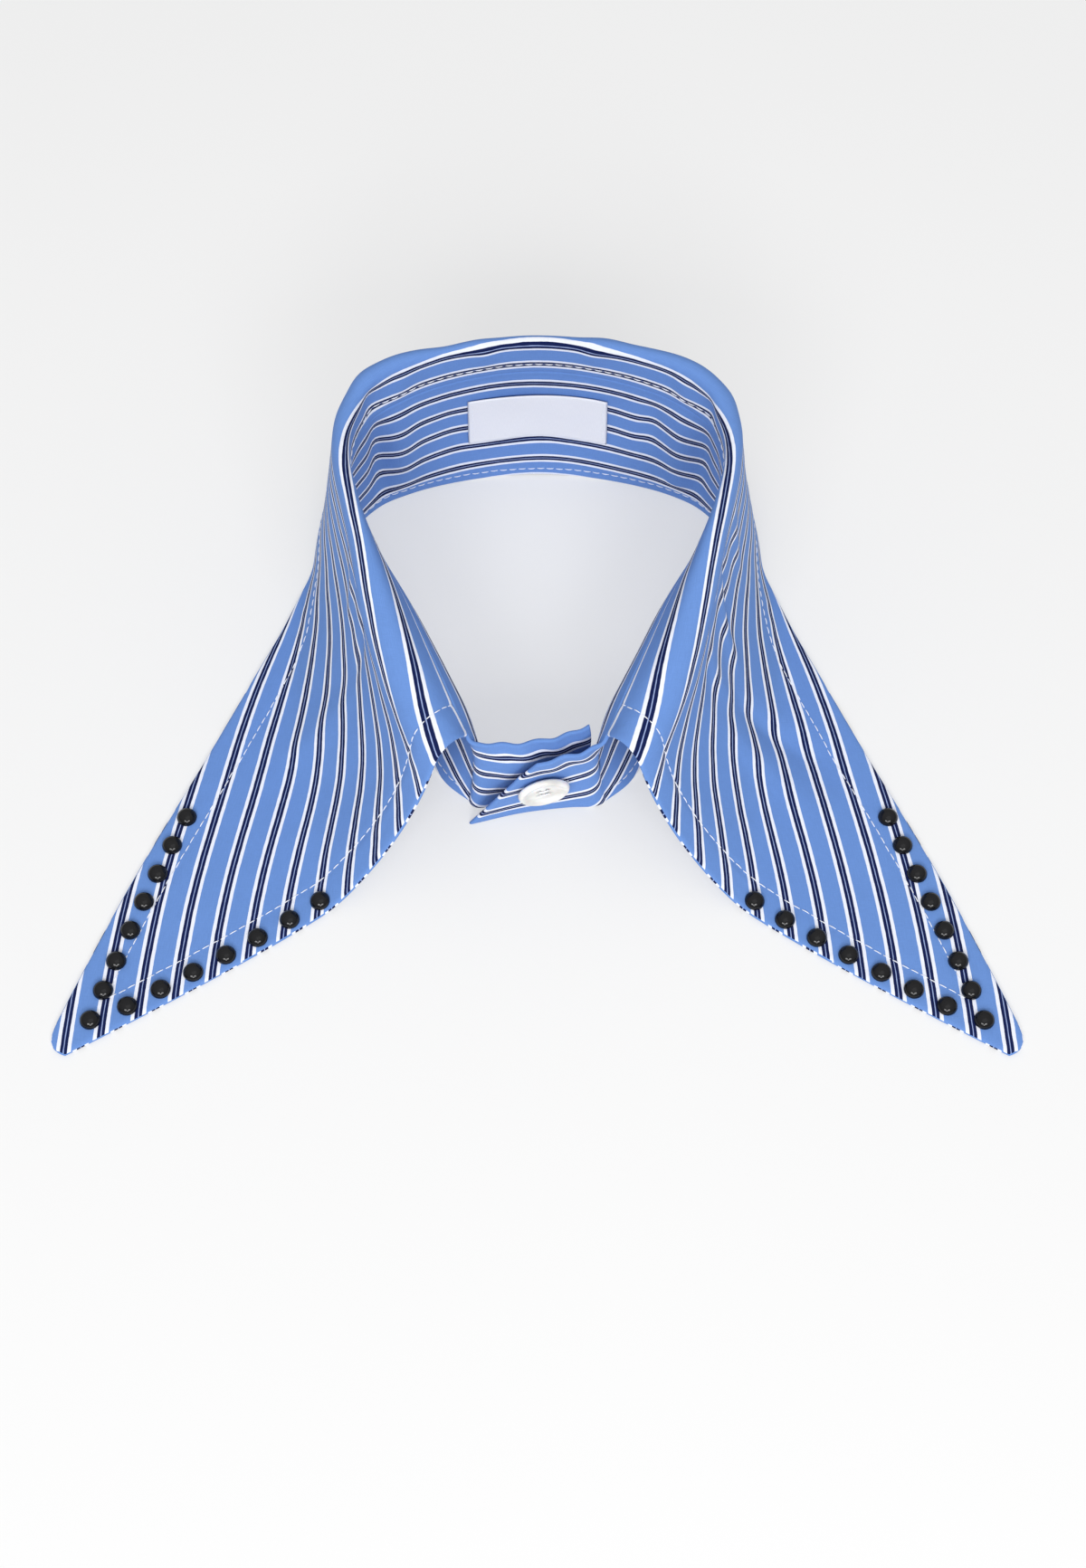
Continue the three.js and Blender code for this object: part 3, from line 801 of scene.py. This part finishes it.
# ---------------------------------------------------------------- the stand
def stand_grid():
    """Columns from the end of the underlap round the neck to the end of the overlap."""
    along = np.concatenate([
        -1 - np.linspace(1, 0, 49)[:-1], -np.linspace(1, 0, 131)[:-1], np.linspace(0, 1, 131),
        1 + np.linspace(0, 1, 57)[1:],
    ])
    rim = np.array([0.995, 0.985, 0.97])
    along = np.unique(np.concatenate([along, 1 + rim, -1 - rim]))
    near, far = [0, 0.003, 0.01, 0.02], [0.98, 0.99, 0.997, 1]
    rows = np.concatenate([near, np.linspace(0.035, 0.965, 48), far])
    side = np.where(along < 0, -1, 1)[:, None] * np.ones(len(rows))[None]
    past = np.where(side > 0, SLANT_TOP + (SLANT_FOOT - SLANT_TOP) * rows[None], UNDERLAP_PAST)
    reach = np.abs(along)[:, None]
    s = np.where(reach <= 1, reach * SEAM_HALF, SEAM_HALF + (reach - 1) * past)
    points = np.zeros((*s.shape, 3))
    wall = np.zeros(s.shape)
    for sign in (1, -1):
        mask = side[:, 0] == sign
        _, tall = stand_points(sign, s[mask], np.zeros_like(s[mask]))
        start = SEAM_JOINT / tall
        down = start + (1 - start) * rows[None]
        points[mask], wall[mask] = stand_points(sign, s[mask], down)
    return points, side * s, rows[None] * wall, wall


# Ripples of the stand where its two plies and the seam pull, as the fall's creases: (s, down).
STAND_CREASES = [
    [-47, 0, -44, 46, 3.2, 2.4],
    [-39, 0, -37, 46, 3.8, -1.0],
    [-62, 4, -58, 40, 4.5, 1.0],
    [-74, 6, -70, 38, 4.0, -0.8],
    [33, 4, 31, 30, 3.2, 0.9],
    [27, 8, 26, 38, 4.4, -0.5],
    [42, 0, 38, 44, 3.6, -0.9],
    [50, 0, 45, 46, 3.2, 1.7],
    [60, 0, 64, 38, 4.0, -1.1],
    [70, 4, 72, 36, 3.6, 0.9],
    [-10, 30, 8, 34, 3.0, 0.4],
    [-24, 8, -22, 44, 5.0, 0.5],
    [44, 38, 37, 42, 1.6, -0.7],
]
PUCKERS = 0.40     # height of the puckers along the overlap's and underlap's upper edges


def stand_wall():
    points, s, down, wall = stand_grid()
    normal = grid_normals(points)
    lift = crease_height(STAND_CREASES, s, down)
    lift += 0.12 * waves(s, down, 21, 26) * smooth(down, 0, 6) * smooth(wall - down, 0, 8)
    past = smooth(np.abs(s), SEAM_HALF, SEAM_HALF + 5)
    lift += PUCKERS * waves(s, down * 0.4, 41, 7.5) * past * (1 - smooth(down, 1, 12))
    points = points + normal * lift[..., None]
    points[..., 2] += 0.22 * waves(s, down * 0.2, 43, 6) * past * (1 - smooth(down, 0, 8))
    ends = [points[0], points[-1]]
    to_end = np.minimum(edge_distance(points, ends[0]), edge_distance(points, ends[1]))
    to_foot, to_top = wall - down, down
    to_edge = np.minimum(np.minimum(to_end, to_foot), to_top)
    pucker = 1 + PUCKER_SHARE * waves(s, down, 23, PUCKER_LENGTH)
    seam = np.exp(-(((down - TOP_STITCH) / 0.5) ** 2))
    foot = np.exp(-(((to_foot - FOOT_STITCH) / 0.5) ** 2))
    groove = 0.14 * pucker * np.maximum(seam, foot)
    half = round_edge(to_edge, CLOTH / 2)
    above = half - groove * smooth(to_edge, 0, 0.8)
    grid = {"points": points, "normal": grid_normals(points), "s": s, "down": down, "wall": wall,
            "above": above, "below": above, "to_edge": to_edge, "to_foot": to_foot}
    return grid


STAND_STRIPE = 5.7        # middle of the stand's first pair, under the seam
STAND_STRIPE_GAP = 9.4    # from pair to pair: the stand's cloth is pressed out a little


def add_stand(stand):
    eased = (stand["down"] - STAND_STRIPE) * STRIPE_PITCH / STAND_STRIPE_GAP
    cut = np.stack([stand["s"], STRIPE_CENTRE - eased], -1)
    rim = np.where(np.abs(stand["s"]) > SEAM_HALF, stand["to_edge"], 99.0)
    vertices, faces, corner_cut = shell(
        stand["points"], stand["above"], stand["below"], cut, 0.0, rim, TURNED_EDGE)
    piece = new_object("stand_cloth", vertices, faces, SHIRTING, corner_cut)
    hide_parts("collar_stand")
    return piece


def row_line(grid, values, level, inside):
    """The line where values equal level, down each column of the stand, on one side of it."""
    points, normals = [], []
    sign = -1 if inside else 1
    half = grid["below"] if inside else grid["above"]
    surface = grid["points"] + sign * grid["normal"] * half[..., None]
    for i in range(len(values)):
        order = np.argsort(values[i])
        f = np.interp(level, values[i][order], order.astype(float))
        j = min(int(f), values.shape[1] - 2)
        t = f - j
        points.append(surface[i, j] * (1 - t) + surface[i, j + 1] * t)
        normals.append(sign * (grid["normal"][i, j] * (1 - t) + grid["normal"][i, j + 1] * t))
    return np.array(points), np.array(normals)


def stand_stitches(stand):
    near = np.abs(stand["s"][:, 0]) < SEAM_HALF - 3
    part = {key: value[near] for key, value in stand.items()}
    return [row_line(part, part["to_foot"], FOOT_STITCH, inside) for inside in (True, False)]


# ---------------------------------------------------------------- label, button, studs
LABEL = {"width": 39.0, "height": 21.0, "top": 10.5, "thick": 0.6, "gap": 0.1}


def add_label():
    """A satin ribbon stitched inside the stand, a little slack between its sewn sides."""
    u = np.linspace(-0.5, 0.5, 66)
    v = np.linspace(0, 1, 36)
    width, height = LABEL["width"], LABEL["height"]
    s = np.repeat((u * width)[:, None], len(v), 1)
    down = LABEL["top"] + height * v[None] + 0 * s
    points = np.zeros((*s.shape, 3))
    for side in (1, -1):
        mask = (s[:, 0] >= 0) == (side > 0)
        _, wall = stand_points(side, np.abs(s[mask]), 0 * s[mask])
        points[mask], _ = stand_points(side, np.abs(s[mask]), down[mask] / wall)
    normal = -grid_normals(points)
    slack = 0.25 * waves(s, down, 31, 24) * smooth(0.5 - np.abs(u), 0, 0.08)[:, None]
    lift = crease_height(STAND_CREASES, s, down)
    away = CLOTH / 2 + LABEL["gap"] + LABEL["thick"] / 2 + 0.25 - lift + slack
    points = points + normal * away[..., None]
    edge = np.minimum((0.5 - np.abs(u))[:, None] * width, np.minimum(v, 1 - v)[None] * height)
    half = round_edge(edge, LABEL["thick"] / 2)
    cut = np.stack([s, down], -1)
    grid = points[::-1], half, half, cut[::-1]
    vertices, faces, corner_cut = shell(*grid, 0.0, edge + 99, TURNED_EDGE)
    piece = new_object("label_ribbon", vertices, faces, SATIN, corner_cut)
    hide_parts("label")
    lines = []
    for i in (2, len(u) - 3):
        top = points[i] + normal[i] * LABEL["thick"] / 2
        lines.append((top[2:-2], normal[i][2:-2]))
    return piece, lines


def lathe(profile, segments):
    """Vertices and faces of a closed body of revolution about +Z; profile is (r, z) upwards."""
    vertices, faces = [], []
    rings = []
    for r, z in profile:
        if r < 1e-6:
            rings.append([len(vertices)] * segments)
            vertices.append((0, 0, z))
        else:
            rings.append(list(range(len(vertices), len(vertices) + segments)))
            for k in range(segments):
                turn = 2 * math.pi * k / segments
                vertices.append((r * math.cos(turn), r * math.sin(turn), z))
    for low, high in zip(rings, rings[1:]):
        for k in range(segments):
            n = (k + 1) % segments
            face = [low[k], low[n], high[n], high[k]]
            face = [v for i, v in enumerate(face) if v not in face[:i]]
            if len(face) > 2:
                faces.append(face)
    return np.array(vertices), faces


def turned_to(vertices, centre, normal, spin=0.0):
    """Places that were made about +Z, turned to the normal and moved to the centre."""
    turn = Vector((0, 0, 1)).rotation_difference(Vector(normal)).to_matrix()
    turn = np.array(turn @ Matrix.Rotation(spin, 3, "Z"))
    return vertices @ turn.T + centre


STUD_R = 2.7
STUD_HEIGHT = 2.3
STUD_SINK = 0.6     # the CAD studs stand this far off the cloth


def add_studs():
    """Domed studs on the places of the CAD studs."""
    profile = [(0, 0.0), (STUD_R - 0.35, 0.0), (STUD_R - 0.08, 0.08), (STUD_R, 0.28)]
    for turn in np.radians(np.linspace(12, 90, 14)):
        profile.append((STUD_R * 0.985 * math.cos(turn), 0.28 + (STUD_HEIGHT - 0.28) * math.sin(turn)))
    profile[-1] = (0, STUD_HEIGHT)
    dome, dome_faces = lathe(profile, 40)
    for side in ("right", "left"):
        vertices, faces, nodes = [], [], []
        for k in range(1, 16):
            node = f"stud_{side}_{k:02d}"
            places = np.array([v.co for v in frame["nodes"][node].data.vertices]) / MM
            foot, up = stud_place(places)
            base = sum(len(v) for v in vertices)
            vertices.append(turned_to(dome, foot - up * STUD_SINK, up))
            faces += [[base + v for v in face] for face in dome_faces]
            nodes.append(node)
        piece = new_object(f"studs_{side}", np.concatenate(vertices), faces, ENAMEL)
        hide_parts(*nodes)


def stud_place(places):
    """Foot and axis of a CAD stud, from its vertices: the flat base is the widest ring."""
    offsets = places - places.mean(0)
    _, _, axes = np.linalg.svd(offsets - offsets.mean(0), full_matrices=False)
    up = axes[2] if axes[2][2] > 0 else -axes[2]
    along = places @ up
    foot_ring = places[along < along.min() + 0.05]
    return foot_ring.mean(0), up


BUTTON = {"r": 7.0, "thick": 2.4, "hole_r": 0.75, "hole_out": 1.55, "past": 19.0, "down": 0.5}


BUTTON_SPIN = math.radians(20)
BUTTON_GAP = 0.15      # from the cloth to the button's back


def button_place():
    step = 0.5
    s = np.array([SEAM_HALF + BUTTON["past"], SEAM_HALF + BUTTON["past"] + step])
    centre, ahead = stand_points(1, s, np.full(2, BUTTON["down"]))[0]
    below = stand_points(1, s[:1], np.array([BUTTON["down"] + 0.02]))[0][0]
    along = (ahead - centre) / np.linalg.norm(ahead - centre)
    normal = np.cross(along, below - centre)
    normal /= np.linalg.norm(normal)
    return centre, normal


def add_button():
    """A four-hole shirt button with a raised rim and a dished middle."""
    centre, normal = button_place()
    r, thick = BUTTON["r"], BUTTON["thick"]
    profile = [
        (0, 0.35), (r * 0.55, 0.25), (r * 0.80, 0.35), (r * 0.93, 0.75), (r, 1.25),
        (r * 0.99, 1.65), (r * 0.95, thick - 0.22), (r * 0.88, thick), (r * 0.80, thick - 0.06),
        (r * 0.70, thick - 0.45), (r * 0.60, thick - 0.72), (r * 0.40, thick - 0.82),
        (0, thick - 0.85),
    ]
    fine = []
    for (r0, z0), (r1, z1) in zip(profile, profile[1:]):
        for t in (0, 0.5):
            fine.append((r0 + (r1 - r0) * t, z0 + (z1 - z0) * t))
    fine.append(profile[-1])
    vertices, faces = lathe(fine, 96)
    piece = new_object("button_pearl", vertices, faces, PEARL)
    cutters, cutter_faces = [], []
    for turn in (45, 135, 225, 315):
        x = BUTTON["hole_out"] * math.cos(math.radians(turn))
        y = BUTTON["hole_out"] * math.sin(math.radians(turn))
        pin, pin_faces = lathe([(0, -1), (BUTTON["hole_r"], -1), (BUTTON["hole_r"], 4), (0, 4)], 24)
        base = sum(len(c) for c in cutters)
        cutters.append(pin + [x, y, 0])
        cutter_faces += [[base + v for v in face] for face in pin_faces]
    cutter = new_object("cutter", np.concatenate(cutters), cutter_faces, PEARL)
    drill = piece.modifiers.new("holes", "BOOLEAN")
    drill.operation = "DIFFERENCE"
    drill.solver = "EXACT"
    drill.object = cutter
    graph = bpy.context.evaluated_depsgraph_get()
    drilled = bpy.data.meshes.new_from_object(piece.evaluated_get(graph))
    piece.modifiers.clear()
    piece.data = drilled
    bpy.data.objects.remove(cutter)
    places = np.array([v.co for v in piece.data.vertices]) / MM
    foot = centre + normal * (CLOTH / 2 + BUTTON_GAP)
    places = turned_to(places, foot, normal, BUTTON_SPIN) * MM
    piece.data.vertices.foreach_set("co", places.ravel())
    piece.data.update()
    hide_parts("button")
    return foot, normal


def button_thread(foot, normal):
    """Two bars of thread through the four holes."""
    lines = []
    hole = BUTTON["hole_out"]
    top = BUTTON["thick"] - 0.72
    for turn in (45, 225):
        a, b = math.radians(turn), math.radians(turn + 90)
        ends = np.array([[hole * math.cos(turned), hole * math.sin(turned), top] for turned in (a, b)])
        for offset in (-0.16, 0.16):
            across = np.array([ends[1, 1] - ends[0, 1], ends[0, 0] - ends[1, 0], 0])
            across = across / np.linalg.norm(across) * offset
            line = ends[0] + (ends[1] - ends[0]) * np.linspace(-0.15, 1.15, 8)[:, None] + across
            lines.append((turned_to(line, foot, normal, BUTTON_SPIN), np.tile(normal, (8, 1))))
    return lines


# The buttonhole, under the button. from and to name the grid's columns by their length past the
# fall's corner at the upper edge; lower down a column lies further past it.
BUTTONHOLE = {"from": 8.6, "to": 17.5, "pitch": 0.42, "slit": 0.12, "width": 1.15}


def buttonhole_lines(stand):
    """Close stitches on both sides of the slit, square to it, on the overlap's outside."""
    lines = []
    for past in np.arange(BUTTONHOLE["from"], BUTTONHOLE["to"], BUTTONHOLE["pitch"]):
        i = np.argmin(np.abs(stand["s"][:, 0] - SEAM_HALF - past))
        middle = BUTTON["down"] * stand["wall"][i, 0]
        down, normal = stand["down"][i], stand["normal"][i]
        surface = stand["points"][i] + normal * stand["above"][i][:, None]
        shift = (past - (stand["s"][i, 0] - SEAM_HALF)) * buttonhole_way(stand, i)
        for side in (-1, 1):
            at = middle + side * np.linspace(BUTTONHOLE["slit"], BUTTONHOLE["width"], 6)
            points = np.stack([np.interp(at, down, column) for column in surface.T], 1)
            normals = np.stack([np.interp(at, down, column) for column in normal.T], 1)
            lines.append((points + shift, normals))
    return lines


def buttonhole_way(stand, i):
    row = stand["points"].shape[1] // 2
    way = stand["points"][i + 1, row] - stand["points"][i - 1, row]
    return way / np.linalg.norm(way)


# ---------------------------------------------------------------- floor, light and camera
AIM = Vector((1.5, -45.0, 0.0))
CAMERA_ELEVATION = 61.9
CAMERA_DISTANCE = 650.0
LENS = 55.0


FLOOR_HALF = 3.0       # m
FLOOR_DROP = 0.0002    # m


def add_floor():
    size, drop = FLOOR_HALF, FLOOR_DROP
    mesh = bpy.data.meshes.new("floor")
    corners = [(-size, -size, -drop), (size, -size, -drop), (size, size, -drop), (-size, size, -drop)]
    mesh.from_pydata(corners, [], [(0, 1, 2, 3)])
    mesh.materials.append(floor_material())
    floor = bpy.data.objects.new("floor", mesh)
    bpy.context.scene.collection.objects.link(floor)


def add_light(name, place, aim, size, power, colour=(1, 1, 1)):
    light = bpy.data.lights.new(name, "AREA")
    light.shape = "RECTANGLE"
    light.size, light.size_y = size
    light.energy = power
    light.color = colour
    obj = bpy.data.objects.new(name, light)
    bpy.context.scene.collection.objects.link(obj)
    obj.location = place
    obj.rotation_euler = (Vector(aim) - Vector(place)).to_track_quat("-Z", "Y").to_euler()


SKY_TOP, SKY_LOW = 0.84, 0.34     # the white room is brightest overhead


def add_lights():
    world = bpy.data.worlds.new("studio")
    bpy.context.scene.world = world
    world.use_nodes = True
    nodes, links = world.node_tree.nodes, world.node_tree.links
    place = nodes.new("ShaderNodeTexCoord").outputs["Generated"]
    parts = nodes.new("ShaderNodeSeparateXYZ")
    links.new(place, parts.inputs[0])
    g = Graph(nodes, links)
    height = g.math("MAXIMUM", parts.outputs["Z"], 0.0)
    sky = nodes["Background"]
    links.new(g.math("MULTIPLY_ADD", height, SKY_TOP - SKY_LOW, SKY_LOW), sky.inputs["Strength"])
    sky.inputs["Color"].default_value = (1, 1, 1, 1)
    add_light("key", (0.15, -0.30, 1.25), (0, 0, 0.02), (0.9, 0.7), 0.8)
    add_light("front_left", (-0.34, -0.92, 0.78), (0, -0.05, 0.02), (0.42, 0.32), 4.0)
    add_light("front_right", (0.34, -0.92, 0.78), (0, -0.05, 0.02), (0.42, 0.32), 4.0)
    add_light("front_low", (0.02, -1.10, 0.60), (0, -0.05, 0.02), (0.30, 0.20), 2.2)


def add_camera(shift):
    camera = bpy.data.cameras.new("camera")
    camera.lens = LENS
    camera.sensor_width = 36.0
    camera.clip_start = 0.01
    obj = bpy.data.objects.new("camera", camera)
    bpy.context.scene.collection.objects.link(obj)
    aim = (AIM + Vector((0, shift, 0))) * MM
    tilt = math.radians(CAMERA_ELEVATION)
    away = Vector((0, -math.cos(tilt), math.sin(tilt))) * CAMERA_DISTANCE * MM
    obj.location = aim + away
    obj.rotation_euler = (math.pi / 2 - tilt, 0, 0)
    bpy.context.scene.camera = obj


def main():
    bpy.context.scene.view_settings.view_transform = "Standard"
    fall = fall_wall()
    stand = stand_wall()
    shift = frame_shift(fall)
    made = set(bpy.data.objects)
    cloth = add_fall(fall)
    band = add_stand(stand)
    label, label_lines = add_label()
    foot, normal = add_button()
    threads = [
        stitches("fall_stitches", fall_stitches(fall), THREAD),
        stitches("stand_stitches", stand_stitches(stand), THREAD),
        stitches("label_stitches", label_lines, THREAD, 1.6, 2.2, 0.12),
        stitches("button_thread", button_thread(foot, normal), THREAD, 2.6, 2.7, 0.2),
        stitches("buttonhole", buttonhole_lines(stand), THREAD, 0.95, 0.95, 0.19),
    ]
    move = Matrix.Translation((0, shift * MM, 0))
    for obj in set(bpy.data.objects) - made:
        obj.data.transform(move)
    add_studs()
    add_floor()
    add_lights()
    add_camera(shift)


main()
